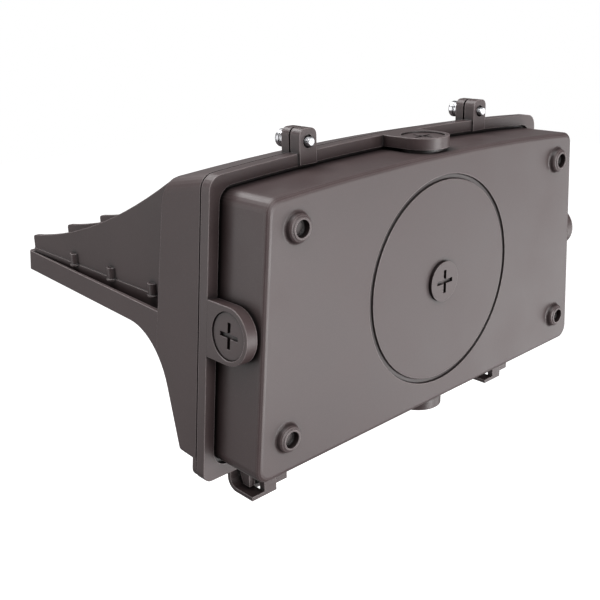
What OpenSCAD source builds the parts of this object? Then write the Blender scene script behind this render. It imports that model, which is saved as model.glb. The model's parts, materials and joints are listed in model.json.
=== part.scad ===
// Wall pack light: a cast rear box that mounts on a wall, and a finned front housing that
// hinges down from it, with the light source in the underside of its head.
// The wall is the plane y = 0 at the rims of the mounting bosses, the lamp faces -Y, +Z is up,
// and the origin is the middle of the round junction-box outline on the rear panel.

/* [Body outline] */
// Width of the body at the height of the origin
body_w = 283.2; // [270:0.2:300]
// Height of the crowned top above the origin, at its middle
body_top = 80.4; // [77:0.1:86]
// Drop of the flange's lower edge below the origin
body_drop = 81.2; // [78:0.1:86]
// Radius of the outline's upper corners, seen from the front
corner_r = 8; // [6.5:0.1:10]
// Radius of the outline's lower corners
low_corner_r = 5; // [4.5:0.1:8]
// Radius of the lower corners of the front housing's frame
frame_corner_r = 2; // [1.5:0.1:4]
// Radius of the crown of the top and of the front edge
crown_r = 1800; // [1500:10:2600]
// Outward lean of the side faces for each unit of drop
side_lean = 0.0955; // [0.07:0.0005:0.11]
// Inward lean of the front housing's sides for each unit of reach
toe_in = 0.0555; // [0.045:0.0005:0.06]

/* [Rear box] */
// Height of the mounting bosses above the rear panel
boss_h = 4.2; // [3.6:0.1:5.5]
// Depth of the box from the rear panel to the back of the flange
box_depth = 32.7; // [32:0.1:40]
// Thickness of the flange
flange_t = 6.1; // [5.4:0.1:8]
// Width of the flange's rim, and thickness of the round tabs
rim_w = 6.2; // [5.6:0.1:7]
// Width of the channel between the rim and the wall of the box
channel_w = 1.8; // [1.4:0.1:2.4]
// Depth of that channel
channel_h = 3; // [2:0.1:4]
// Wall of the box
box_wall = 3; // [2.5:0.1:3.6]
// Radius of the rounded edge round the rear panel
panel_edge_r = 2.7; // [2:0.1:3.4]
// Radius of the round outline that is cast in the rear panel
ring_r = 59; // [50:0.5:62]
// Width of that outline's groove
ring_w = 3; // [1.6:0.1:3.2]
// Depth of that groove
ring_h = 1.4; // [0.6:0.1:1.6]

/* [Wall mounting] */
// Distance of the upper mounting holes from the body's sides at the height of the origin
top_hole_in = 31.2; // [28.6:0.1:40]
// Distance of the lower mounting holes from the body's sides at the height of the origin
low_hole_in = 21.2; // [19.6:0.1:36]
// Height of the holes above and below the origin
hole_rise = 52.7; // [46:0.1:54]
// Diameter of the mounting holes
hole_d = 8.8; // [6:0.1:9.4]
// Depth of the holes down to their knock-outs
hole_h = 3.9; // [3:0.1:5]
// Outer diameter of the bosses at their rims
boss_rim_d = 10.6; // [10.4:0.1:12.5]
// Outer diameter of the bosses at the panel
boss_base_d = 17; // [15:0.1:19]
// Thickness of the knock-outs
knockout_t = 1; // [0.6:0.1:1.6]

/* [Conduit entries] */
// Radius of the round tabs on the flange
tab_r = 14.5; // [13.6:0.1:16]
// Distance from the back of the flange to the middle of the tabs
tab_reach = 16.1; // [15:0.1:17.4]
// Height of the side tabs above the origin
tab_rise = 2.5; // [-6:0.1:8]
// Rise of the bottom tab's face above the flange's lower edge
low_tab_rise = 1.6; // [0.5:0.1:2.5]
// Diameter of the plugs' heads
plug_head_d = 23.4; // [22.6:0.1:24]
// Gap round the plugs' heads in their recesses
plug_gap = 0.4; // [0.3:0.1:1.1]
// Depth of the side, top and bottom plugs' heads below the tabs' faces
plug_sink = 0.8; // [0:0.1:1.2]
// Thickness of the side, top and bottom plugs' heads
plug_head_t = 3.2; // [2.6:0.1:4]
// Thickness of the rear plug's head, which lies on the panel
rear_head_t = 1.8; // [1.6:0.1:2.6]
// Diameter of the plugs' pipe thread
plug_thread_d = 21.3; // [20:0.1:21.8]
// Length of the thread
plug_thread_h = 9; // [7:0.1:11]
// Length of the driver slots
plug_slot_l = 13.4; // [10:0.1:16]
// Width of the driver slots
plug_slot_w = 2.4; // [1:0.1:2.6]
// Depth of the driver slots
plug_slot_h = 1.5; // [0.8:0.1:1.6]

/* [Latch screws] */
// Distance from the middle of the lamp to each latch
latch_x = 72.2; // [60:0.2:90]
// Width of the latch ears
ear_w = 11.8; // [11:0.1:14]
// Height of the ears above the origin
ear_top = 91; // [90.5:0.1:95]
// Height of the screws above the origin
latch_z = 84.3; // [84:0.1:86]
// Thickness of the front ears
front_ear_t = 5.4; // [4.6:0.1:7]
// Diameter of the screws
screw_d = 5; // [4:0.1:5.4]
// Diameter of the screw heads
screw_head_d = 9.6; // [8.4:0.1:10]
// Height of the screw heads
screw_head_h = 4.6; // [3.6:0.1:5.5]
// Length of the screws under the head
screw_l = 18.7; // [18:0.1:20]
// Thickness of the lock washers
lock_washer_t = 1.5; // [1:0.1:1.8]
// Thickness of the flat washers
flat_washer_t = 1; // [0.8:0.1:1.4]

/* [Hinge] */
// Distance of the hooks from the body's sides at the height of the origin
hook_in = 25.9; // [20:0.1:36]
// Width of the hooks
hook_w = 17.7; // [16.5:0.1:20]
// Width of the hooks' knuckles and uprights
knuckle_w = 8.7; // [7:0.1:9.4]
// Thickness of the hooks' strap
strap_t = 2.4; // [2:0.1:2.8]
// Distance of the pins in front of the seam
pin_ahead = 6; // [5.6:0.1:6.6]
// Distance of the pins below the body
pin_below = 16.4; // [16.2:0.1:19]
// Diameter of the pins
pin_d = 4; // [3:0.1:4.4]
// Radius of the lugs' ends round the pins
lug_r = 4.5; // [3.8:0.1:4.6]
// Width of the inner lugs
inner_lug_w = 8; // [6:0.1:14]
// Width of the outer lugs
outer_lug_w = 4; // [3:0.1:6]

/* [Front housing] */
// Gap that the gasket fills between the two castings
seam_w = 1; // [0.8:0.1:1.6]
// Thickness of the lip that meets the flange
lip_t = 3; // [2.4:0.1:3.4]
// Depth of the frame from the seam to its front face at the height of the origin
frame_depth = 38.2; // [37.6:0.1:46]
// Drop of the frame's underside below the origin
frame_drop = 71; // [68:0.1:72]
// Backward lean of the frame's front face for each unit of height
front_lean = 0.064; // [0.05:0.001:0.08]
// Downward slope of the frame's top towards the front
top_slope = 0.205; // [0.15:0.005:0.23]
// Radius of the frame's upper front edge
top_edge_r = 7; // [5:0.1:9]
// Wall of the front housing
door_wall = 3.5; // [3.2:0.1:4]
// Width of the flat sill under the frame
sill_w = 11; // [9:0.1:12]
// Slope of the wall that rises from the sill
cove_slope = 2.42; // [2.2:0.01:2.7]
// Radius of the cove between that wall and the underside of the head
cove_r = 42; // [38:0.5:46]

/* [Head] */
// Reach of the head in front of the frame
head_reach = 164.6; // [158:0.2:190]
// Drop of the head's underside below the origin
head_drop = 13; // [12.4:0.1:15]
// Drop of the side strips' upper edge below the origin
strip_drop = 0.8; // [0.4:0.1:1.4]
// Thickness of the side strips
strip_t = 2.2; // [1.8:0.1:2.6]
// Depth of the grooves inside the side strips
groove_h = 7.5; // [5:0.1:8]
// Radius of the head's front corners
nose_r = 2; // [1:0.1:6]
// Height of the deck's edge, on which the outer fins stand, above the origin
deck_z = 2; // [0.4:0.1:2.6]
// Thickness of the deck over the light source
deck_t = 5.1; // [4.6:0.1:5.4]

/* [Fins] */
// Number of fins on each side of the middle fin
fin_n = 5; // [3:1:5]
// Distance of the outer fins from the head's sides at its tip
fin_side = 1.3; // [1.2:0.1:6]
// Thickness of the fins
fin_t = 2.8; // [2:0.1:3.4]
// Height of the outer fins' tips above the origin
fin_tip_h = 10.2; // [8:0.1:13]
// Height above the origin at which the outer fins meet the frame
fin_root_h = 67.8; // [56:0.1:68]
// Slope of the fins' top edge at the tip
fin_tip_slope = 0.16; // [0.1:0.01:0.22]
// Radius of the rounded fin tips
fin_tip_r = 2.4; // [2:0.1:5]
// Distance of the fin tips behind the head's front edge
fin_setback = 6.4; // [2:0.1:8]
// Radius of the round pads on the outer fins
pad_r = 3.2; // [2:0.1:3.6]
// Height of those pads
pad_h = 8.5; // [6:0.1:10]
// Distance of the first pad from the frame
pad_first = 17.9; // [12:0.1:24]
// Distance between pads
pad_pitch = 41.7; // [30:0.1:50]
// Number of pads on each side
pad_n = 3; // [1:1:3]

/* [Light engine] */
// Distance of the light compartment from the head's sides at its tip
room_side = 13.3; // [11.4:0.1:18]
// Distance from the frame to the compartment
room_start = 21; // [19:0.1:24]
// Distance from the compartment to the head's front edge
room_end = 17.6; // [15.6:0.1:24]
// Width of the ledge round the compartment that the lens frame meets
ledge_w = 4; // [3:0.1:4.6]
// Height of that ledge above the head's underside
ledge_h = 2.6; // [2:0.1:3.4]
// Distance of the circuit board from the compartment's sides
board_side = 19; // [17:0.1:26]
// Distance of the circuit board from the compartment's front and back
board_end = 19; // [17:0.1:24]
// Thickness of the circuit board
board_t = 1.6; // [1:0.1:1.8]
// Side of each light source chip
chip_w = 3.5; // [3:0.1:4]
// Thickness of the chips
chip_t = 0.8; // [0.6:0.1:1]
// Number of chips in a row
chip_n = 10; // [6:1:10]
// Number of rows of chips
chip_rows = 4; // [2:1:4]
// Thickness of the optic plate
optic_t = 1; // [0.8:0.1:1.2]
// Thickness of the lens
lens_t = 3; // [2.6:0.1:3.2]
// Thickness of the lens gasket
lens_seal_t = 0.8; // [0.6:0.1:1]
// Thickness of the lens frame's visible lip
frame_lip_t = 1.6; // [1.4:0.1:2]
// Width of the lens frame's lip under the lens
frame_lip_w = 7; // [5:0.1:8]

/* [Driver] */
// Length of the driver
driver_l = 140; // [120:0.5:142]
// Height of the driver
driver_w = 54; // [48:0.5:56]
// Thickness of the driver
driver_t = 24; // [18:0.5:24.5]
// Height of the driver's lower edge above the origin
driver_rise = 5; // [4:0.1:6]
// Thickness of the bracket
bracket_t = 1.5; // [1.2:0.1:2]
// Length of the terminal block
terminal_l = 46; // [36:0.5:50]
// Diameter of the wires
wire_d = 2.4; // [1.8:0.1:2.6]

/* [Hidden] */
$fn = 64;

// Smoothness of arcs and crowns in the outlines
arc_n = 6;
crown_n = 12;
// Overrun of cuts and of hidden joins
over = 0.5;
// Thickness of the slices that a rounded form is drawn over
slice_t = 0.01;
// Running clearance of pins and screws, and the looser one of plain holes
run_gap = 0.05;
hole_gap = 0.3;
top_hole_x = body_w / 2 - top_hole_in;
low_hole_x = body_w / 2 - low_hole_in;
hook_x = body_w / 2 - hook_in - hook_w;

// Stations along the depth, from the wall to the tip of the head
panel_y = -boss_h;
rear_y = panel_y - box_depth;
flange_y = rear_y - flange_t;
seam_y = flange_y - seam_w;
lip_y = seam_y - lip_t;
front_y = seam_y - frame_depth;
tip_y = front_y - head_reach;
box_inset = rim_w + channel_w;
lean_k = sqrt(1 + side_lean * side_lean);
lean_a = atan(side_lean);

// Half width of the castings at height z and depth y
function toe(y) = y < flange_y ? toe_in * (flange_y - y) : 0;
function half_w(y) = body_w / 2 - toe(y);
function side_x(y, z) = half_w(y) - side_lean * z;
function crown(x) = x * x / (2 * crown_r);
function arc_pts(c, r, from, to, n = arc_n) =
    [for (i = [0:n]) let(a = from + (to - from) * i / n) [c[0] + r * cos(a), c[1] + r * sin(a)]];

// Outline in x and z: leaning sides, flat bottom, crowned top, rounded corners
function outline(w, top, bottom, r, low_r) =
    let(
        low_z = bottom + low_r,
        low_x = w - side_lean * low_z - low_r * lean_k,
        up_x = w - side_lean * (top - crown(w) - r) - r * lean_k,
        end_x = up_x * (1 + r / crown_r),
        end_a = acos(up_x / crown_r),
        up_z = top - crown(end_x) - r * sin(end_a),
        low = arc_pts([low_x, low_z], low_r, -90, lean_a),
        right = concat(low, arc_pts([up_x, up_z], r, lean_a, end_a)),
        cap = [for (i = [1:crown_n - 1]) let(x = end_x * (1 - 2 * i / crown_n)) [x, top - crown(x)]],
        left = [for (i = [len(right) - 1:-1:0]) [-right[i][0], right[i][1]]]
    )
    concat(right, cap, left);

// The flange's outline moved inwards by d
module flange_shape(d, r = corner_r, low_r = low_corner_r)
    polygon(outline(body_w / 2 - d * lean_k, body_top - d, d - body_drop, r, low_r));

module along_x(x0, x1) translate([x0, 0, 0]) rotate([90, 0, 90]) linear_extrude(x1 - x0) children();
module along_y(y0, y1) translate([0, y1, 0]) rotate([90, 0, 0]) linear_extrude(y1 - y0) children();
module along_z(z0, z1) translate([0, 0, z0]) linear_extrude(z1 - z0) children();
module rod_x(r, x0, x1) translate([x0, 0, 0]) rotate([0, 90, 0]) cylinder(r = r, h = x1 - x0);
module rod_y(r, y0, y1) translate([0, y1, 0]) rotate([90, 0, 0]) cylinder(r = r, h = y1 - y0);
module rod_z(r, z0, z1) translate([0, 0, z0]) cylinder(r = r, h = z1 - z0);
module box(lo, hi) translate(lo) cube(hi - lo);
module both() {
    children();
    mirror([1, 0, 0]) children();
}

// Conduit entries: each is drawn with its outer face at z = 0 and its axis along +Z
tab_y = rear_y + tab_reach;
side_tab_x = side_x(rear_y, tab_rise);
entry_boss_r = plug_thread_d / 2 + box_wall * 0.6;
entry_boss_h = plug_sink + plug_head_t + plug_thread_h + over;
module on_side() translate([side_tab_x, tab_y, tab_rise]) rotate([0, 90 - lean_a, 0]) children();
module on_top() translate([0, tab_y, body_top]) children();
module on_bottom()
    translate([0, tab_y, low_tab_rise - body_drop]) rotate([180, 0, 0]) mirror([0, 1, 0]) children();
module on_rear() translate([0, panel_y, 0]) rotate([-90, 0, 0]) children();
module each_entry() {
    both() on_side() children();
    on_top() children();
    on_bottom() children();
}

// A D-shaped tab that grows out of the flange's rim
module tab()
    translate([0, 0, -rim_w]) linear_extrude(rim_w) {
        circle(tab_r);
        translate([-tab_r, -tab_reach - over, 0]) square([2 * tab_r, tab_reach + over]);
    }

module entry_boss() rod_z(entry_boss_r, -entry_boss_h, -rim_w / 2);

module entry_hole() {
    rod_z(plug_head_d / 2 + plug_gap, -plug_sink - plug_head_t, over);
    rod_z(plug_thread_d / 2 + run_gap, -entry_boss_h - over, over);
}

module plug(head_t)
    difference() {
        union() {
            rod_z(plug_head_d / 2, -head_t, 0);
            rod_z(plug_thread_d / 2, -head_t - plug_thread_h, -head_t);
        }
        for (a = [0, 90])
            rotate([0, 0, a]) translate([-plug_slot_l / 2, -plug_slot_w / 2, -plug_slot_h])
                cube([plug_slot_l, plug_slot_w, plug_slot_h + over]);
    }

// Half width of the flat floor of the round outline's groove
ring_floor = ring_w * 0.36;

module sunk_plug() translate([0, 0, -plug_sink]) plug(plug_head_t);

// Mounting bosses on the rear panel, each with a knock-out a step below its hole's floor
knockout_r = hole_d / 2 - knockout_t;
knockout_step = knockout_t * 0.4;
module mount_places() {
    for (s = [-1, 1]) {
        translate([s * top_hole_x, 0, hole_rise]) children();
        translate([s * low_hole_x, 0, -hole_rise]) children();
    }
}

// A flared foot, a steep collar with a round shoulder, and a short tube up to the rim
boss_foot_shares = [
    [1, 0], [0.84, 0.05], [0.7, 0.16], [0.62, 0.4], [0.52, 0.64], [0.32, 0.81], [0.08, 0.87], [0, 1]];
module mount_boss()
    translate([0, panel_y, 0]) rotate([-90, 0, 0]) rotate_extrude()
        polygon(concat(
            [[0, -over], [boss_base_d / 2, -over]],
            [for (s = boss_foot_shares)
                [boss_rim_d / 2 + s[0] * (boss_base_d - boss_rim_d) / 2, s[1] * boss_h]],
            [[0, boss_h]]));

// Latch ears on both castings
ear_r = ear_w / 3;
ear_gap = seam_w * 1.3;
ear_proud = flange_t * 0.18;
ear_foot_z = body_top - crown(latch_x) - rim_w;
gasket_inset = seam_w;
module ear_shape(foot_z)
    polygon(concat(
        [[latch_x - ear_w / 2, foot_z], [latch_x + ear_w / 2, foot_z]],
        arc_pts([latch_x + ear_w / 2 - ear_r, ear_top - ear_r], ear_r, 0, 90),
        arc_pts([latch_x - ear_w / 2 + ear_r, ear_top - ear_r], ear_r, 90, 180)));
rear_ear_y = rear_y + ear_proud;
tip_recess_r = screw_d * 0.68;
tip_recess_h = screw_d * 0.4;
keeper_r = screw_d * 0.86;
keeper_t = screw_d * 0.2;
module at_latch() translate([latch_x, 0, latch_z]) children();

// Hinge: lugs of the rear box and hooks of the front housing share one pin on each side
pin_y = seam_y - pin_ahead;
pin_z = -body_drop - pin_below;
module at_pin() translate([0, pin_y, pin_z]) children();
knuckle_gap = 0.5;
inner_lug_x = hook_x - knuckle_gap - inner_lug_w;
outer_lug_x = hook_x + knuckle_w + knuckle_gap;
pin_end_x = outer_lug_x + outer_lug_w * 0.6;
lug_top_z = -body_drop - seam_w;
lug_rear_y = pin_y + pin_ahead + lug_r - knuckle_gap;
lug_low_z = pin_z - lug_r * 1.35;
hook_step = 2 * hook_x + hook_w;
module each_hinge() {
    children();
    translate([-hook_step, 0, 0]) children();
}
module lug(x0, x1, y1)
    along_x(x0, x1) polygon([
        [pin_y - lug_r, pin_z], [pin_y - lug_r / 2, lug_low_z], [y1, lug_low_z], [y1, lug_top_z - lug_r],
        [rear_y - over, lug_top_z - lug_r], [rear_y - over, -body_drop + rim_w / 2],
        [flange_y, -body_drop + rim_w / 2], [flange_y, lug_top_z], [pin_y - lug_r, lug_top_z]]);
module lugs() {
    lug(outer_lug_x, outer_lug_x + outer_lug_w, pin_y + lug_r * 0.65);
    lug(inner_lug_x, inner_lug_x + inner_lug_w, lug_rear_y);
}

// Rear box
box_corner_r = corner_r * 0.88;
channel_r = box_corner_r + channel_w;
panel_edge_n = 4;
cavity_r = corner_r / 2;
module box_form()
    hull() {
        along_y(flange_y, panel_y - panel_edge_r) flange_shape(box_inset, box_corner_r, box_corner_r);
        for (i = [1:panel_edge_n]) {
            a = 90 * i / panel_edge_n;
            y = panel_y - panel_edge_r * (1 - sin(a));
            r = box_corner_r - panel_edge_r * (1 - cos(a)) / 2;
            along_y(y - slice_t, y) flange_shape(box_inset + panel_edge_r * (1 - cos(a)), r, r);
        }
    }

module ground_place() translate([-ring_r, panel_y - box_wall, -ring_r / 2]) children();
ground_boss_r = screw_d;
ground_boss_h = screw_d * 1.2;
ground_r = screw_d * 0.4;

module back_box() color([0.25, 0.23, 0.23]) difference() {
    union() {
        difference() {
            union() {
                difference() {
                    along_y(flange_y, rear_y) flange_shape(0);
                    along_y(rear_y - channel_h, rear_y + over) flange_shape(rim_w, channel_r, channel_r);
                }
                box_form();
                each_entry() tab();
            }
            along_y(flange_y - over, panel_y - box_wall)
                flange_shape(box_inset + box_wall, cavity_r, cavity_r);
        }
        each_entry() entry_boss();
        on_rear() rod_z(entry_boss_r + box_wall / 2, -entry_boss_h, -over);
        mount_places() mount_boss();
        both() along_y(seam_y + ear_gap, rear_ear_y) ear_shape(ear_foot_z);
        each_hinge() lugs();
        ground_place() rod_y(ground_boss_r, -ground_boss_h, over);
    }
    each_entry() entry_hole();
    on_rear() rod_z(plug_thread_d / 2 + run_gap, -entry_boss_h - over, over);
    on_rear() rotate_extrude()
        polygon([[ring_r - ring_w / 2, over], [ring_r + ring_w / 2, over], [ring_r + ring_w / 2, 0],
            [ring_r + ring_floor, -ring_h], [ring_r - ring_floor, -ring_h], [ring_r - ring_w / 2, 0]]);
    mount_places() {
        rod_y(hole_d / 2, knockout_step - hole_h, over);
        rod_y(knockout_r, -hole_h, over);
        rod_y(knockout_r, panel_y - box_wall - over, -hole_h - knockout_t);
    }
    both() at_latch() {
        rod_y(screw_d / 2 + run_gap, seam_y, rear_ear_y + over);
        rod_y(tip_recess_r, rear_ear_y - tip_recess_h, rear_ear_y + over);
    }
    each_hinge() at_pin() rod_x(pin_d / 2, inner_lug_x - over, pin_end_x);
    ground_place() rod_y(ground_r, -ground_boss_h - over, -over);
}

module rear_plug() color([0.27, 0.25, 0.25]) translate([0, rear_head_t, 0]) on_rear() plug(rear_head_t);
module side_plug_right() color([0.27, 0.25, 0.25]) on_side() sunk_plug();
module side_plug_left() color([0.27, 0.25, 0.25]) mirror([1, 0, 0]) on_side() sunk_plug();
module top_plug() color([0.27, 0.25, 0.25]) on_top() sunk_plug();
module bottom_plug() color([0.27, 0.25, 0.25]) on_bottom() sunk_plug();

// Seam gasket, on the flange where the front housing's wall meets it
module box_gasket() color([0.06, 0.06, 0.06])
    along_y(seam_y, flange_y) difference() {
        flange_shape(gasket_inset);
        flange_shape(door_wall, corner_r - gasket_inset, low_corner_r - gasket_inset);
    }

module hinge_pins() color([0.6, 0.6, 0.62])
    each_hinge() at_pin() rod_x(pin_d / 2, inner_lug_x + inner_lug_w / 4, pin_end_x);

ground_head_r = ground_r * 2;
ground_head_h = ground_r * 1.4;
ground_slot_w = ground_r * 0.4;
module ground_screw() color([0.15, 0.5, 0.25])
    ground_place() difference() {
        union() {
            rod_y(ground_r - run_gap, -ground_boss_h, -2 * over);
            translate([0, -ground_boss_h, 0]) rotate([90, 30, 0])
                cylinder(r = ground_head_r, h = ground_head_h, $fn = 6);
        }
        translate([0, -ground_boss_h - ground_head_h, 0])
            box([-ground_head_r, -over, -ground_slot_w / 2],
                [ground_head_r, ground_r / 2, ground_slot_w / 2]);
    }

// Front housing: half widths and heights of its slices from the seam to the front face
front_z = fin_root_h;
function front_face_y(z) = front_y + front_lean * z;
edge_y = front_face_y(front_z) + top_edge_r;
edge_c = [edge_y, body_top - top_slope * (seam_y - edge_y) - top_edge_r];
edge_a0 = 90 + atan(top_slope);
edge_a1 = 180 - atan(front_lean);
edge_n = 4;
frame_slices = concat(
    [[seam_y, body_top]],
    arc_pts(edge_c, top_edge_r, edge_a0, edge_a1, edge_n),
    [[front_y, 0]]);
module frame_form(d, back)
    hull() for (s = frame_slices) {
        y = s[0] < seam_y ? s[0] + d : seam_y;
        w = half_w(s[0]) - d * lean_k;
        along_y(y, s[0] < seam_y ? y + slice_t : y + back)
            polygon(outline(w, s[1] - d, d - frame_drop, corner_r - d / 2, frame_corner_r));
    }

// The lip that meets the flange, below the frame and just inside its sides
lip_inset = run_gap * 4;
module lip()
    along_y(lip_y, seam_y + over)
        polygon(outline(
            half_w(lip_y) - lip_inset, sill_w - frame_drop, -body_drop, low_corner_r, low_corner_r));

// Cove under the head: a straight wall, then an arc that meets the head's underside
sill_y = seam_y - sill_w - sill_w * 0.36;
sill_z = -frame_drop + sill_w * 0.14;
cove_k = sqrt(1 + cove_slope * cove_slope);
cove_z = -head_drop - cove_r;
cove_y = sill_y - (cove_r * cove_k + cove_z - sill_z) / cove_slope;
cove_a = atan(1 / cove_slope);
module lower_profile()
    polygon(concat(
        [[seam_y + 2 * over, body_top + over], [seam_y + 2 * over, -frame_drop],
         [seam_y - sill_w, -frame_drop], [sill_y, sill_z]],
        arc_pts([cove_y, cove_z], cove_r, cove_a, 90, 2 * arc_n),
        [[tip_y - over, -head_drop], [tip_y - over, body_top + over]]));

// The same profile moved inwards by the wall, up to the inner face of the front wall
inner_front_y = front_y + door_wall;
inner_r = cove_r + door_wall;
inner_a = acos((inner_front_y - cove_y) / inner_r);
module inner_profile()
    polygon(concat(
        [[seam_y + 3 * over, body_top], [seam_y + 3 * over, door_wall - frame_drop],
         [seam_y - sill_w + door_wall / 4, door_wall - frame_drop],
         [sill_y + door_wall, sill_z + door_wall / 2]],
        arc_pts([cove_y, cove_z], inner_r, cove_a, inner_a, arc_n),
        [[inner_front_y, body_top]]));

// Plan of the head: crowned front edge with rounded corners
nose_x = half_w(tip_y) - nose_r;
function nose_y(x) = tip_y + crown(x);
module head_plan()
    polygon(concat(
        [[body_w, seam_y], [body_w, nose_y(nose_x) + nose_r]],
        [[nose_x + nose_r, nose_y(nose_x) + nose_r]],
        arc_pts([nose_x, nose_y(nose_x) + nose_r], nose_r, 0, -90),
        [for (i = [1:crown_n - 1]) let(x = nose_x * (1 - 2 * i / crown_n)) [x, nose_y(x)]],
        arc_pts([-nose_x, nose_y(nose_x) + nose_r], nose_r, -90, -180),
        [[-nose_x - nose_r, nose_y(nose_x) + nose_r], [-body_w, nose_y(nose_x) + nose_r],
         [-body_w, seam_y]]));

module head_slice(y, z0, z1, d)
    along_y(y - slice_t, y) polygon([
        [side_x(y, z0) - d, z0], [side_x(y, z1) - d, z1], [d - side_x(y, z1), z1], [d - side_x(y, z0), z0]]);
module head_form(z0, z1, d)
    hull() {
        head_slice(inner_front_y, z0, z1, d);
        head_slice(tip_y, z0, z1, d);
    }

// Fins stand on the deck, whose edge shows as a narrow ledge beside the outer fins
fin_out_x = half_w(tip_y) - fin_side;
fin_pitch = (fin_out_x - fin_t / 2) / fin_n;
deck_ledge = fin_t * 0.16;
deck_x = fin_out_x + deck_ledge;
fin_l = head_reach - crown(fin_n * fin_pitch) - fin_setback;
function fin_tip_y(x) = nose_y(x) + fin_setback;
function fin_lift(x) = crown(fin_n * fin_pitch) - crown(x);
function fin_top(u) =
    fin_tip_h + fin_tip_slope * fin_l * u + (fin_root_h - fin_tip_h - fin_tip_slope * fin_l) * u * u;
fin_steps = 14;
module fin(x) {
    y0 = fin_tip_y(x);
    y1 = front_face_y(fin_root_h) + door_wall / 2;
    lift = fin_lift(x);
    along_x(x - fin_t / 2, x + fin_t / 2) polygon(concat(
        [[front_y + door_wall / 2, 0], [y0, 0]],
        arc_pts([y0 + fin_tip_r, fin_top(0) + lift - fin_tip_r * (1 - fin_tip_slope)], fin_tip_r, 180, 100),
        [for (i = [1:fin_steps]) let(u = i / fin_steps) [y0 + u * (y1 - y0), fin_top(u) + lift]]));
}

// Groove between the deck and the side strip, a wedge that narrows towards the tip
groove_end_y = tip_y + fin_setback * 1.2;
groove_tip_w = deck_ledge;
module groove()
    along_z(-strip_drop - groove_h, deck_z + over) polygon([
        [deck_x, front_y], [side_x(front_y, -strip_drop) - strip_t, front_y],
        [deck_x + groove_tip_w, groove_end_y], [deck_x, groove_end_y]]);

// Round pads, half sunk in the outer fins, each with a ring round its foot
pad_ring_r = pad_r * 1.18;
pad_ring_h = pad_r * 0.34;
module pads()
    for (i = [0:pad_n - 1]) translate([fin_out_x - over / 2, front_y - pad_first - i * pad_pitch, 0]) {
        rod_z(pad_r, deck_z - pad_ring_h, pad_h);
        rod_z(pad_ring_r, deck_z - pad_ring_h, deck_z);
    }

// Hooks: a strap that runs down in front of the pin, under it and up behind it
strap_y = pin_y - lug_r - strap_t - pin_d * 0.9;
strap_z = pin_z - lug_r - strap_t - pin_d * 0.72;
strap_r = lug_r + strap_t;
tail_y = pin_y + pin_ahead + lug_r;
upright_y = pin_y + pin_ahead + knuckle_gap;
upright_z = pin_z + lug_r;
knuckle_r = lug_r - knuckle_gap / 2;
module hook() {
    difference() {
        along_x(hook_x, hook_x + hook_w) polygon(concat(
            arc_pts([strap_y + strap_r, strap_z + strap_r], strap_r, 180, 270),
            [[tail_y, strap_z], [tail_y, strap_z + strap_t]],
            arc_pts([strap_y + strap_r, strap_z + strap_r], strap_r - strap_t, 270, 180),
            [[strap_y + strap_t, sill_z + door_wall], [strap_y, sill_z + door_wall]]));
        box([hook_x - over, pin_y + pin_ahead / 6, strap_z - over],
            [hook_x + knuckle_w, upright_y, strap_z + strap_t + over]);
    }
    along_x(hook_x, hook_x + knuckle_w) {
        polygon([[upright_y, strap_z], [tail_y, strap_z], [tail_y, upright_z], [upright_y, upright_z]]);
        translate([pin_y, pin_z]) circle(knuckle_r);
        polygon([
            [strap_y + strap_t / 2, pin_z - knuckle_r / 2], [pin_y, pin_z - knuckle_r / 2],
            [pin_y, pin_z + knuckle_r / 2], [strap_y + strap_t / 2, pin_z + knuckle_r / 2]]);
    }
}

// Light compartment in the underside of the head
room_y1 = front_y - room_start;
room_y0 = tip_y + room_end;
room_w = 2 * (half_w(tip_y) - room_side);
room_top_z = deck_z - deck_t;
ledge_z = -head_drop + ledge_h;
frame_gap = hole_gap;
room_post_r = screw_d;
frame_screw_r = screw_d * 0.3;
post_in = room_post_r * 0.9;
module frame_screw_places()
    for (sx = [-1, 0, 1])
        for (y = [room_y0 + post_in, room_y1 - post_in])
            translate([sx * (room_w / 2 - post_in), y, 0]) children();

// Posts on the front wall that carry the driver's bracket
bracket_y = inner_front_y + front_lean * (driver_rise + driver_w) + screw_d / 2;
bracket_x = driver_l / 2 + screw_d * 3;
bracket_top = driver_rise + driver_w + screw_d / 2;
bracket_low = cove_z + sqrt(inner_r * inner_r - pow(bracket_y - bracket_t - cove_y, 2)) + screw_d / 2;
post_r = screw_d * 0.9;
small_r = screw_d * 0.3;
module bracket_places()
    for (sx = [-1, 1])
        for (z = [bracket_low + post_r * 2, bracket_top - post_r])
            translate([sx * (bracket_x - post_r), 0, z]) children();

// Way for the light engine's leads from the frame into the compartment
lead_way_z = -head_drop / 2;
lead_way_r = wire_d * 1.2;
lead_way_x = room_post_r * 2;

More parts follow.
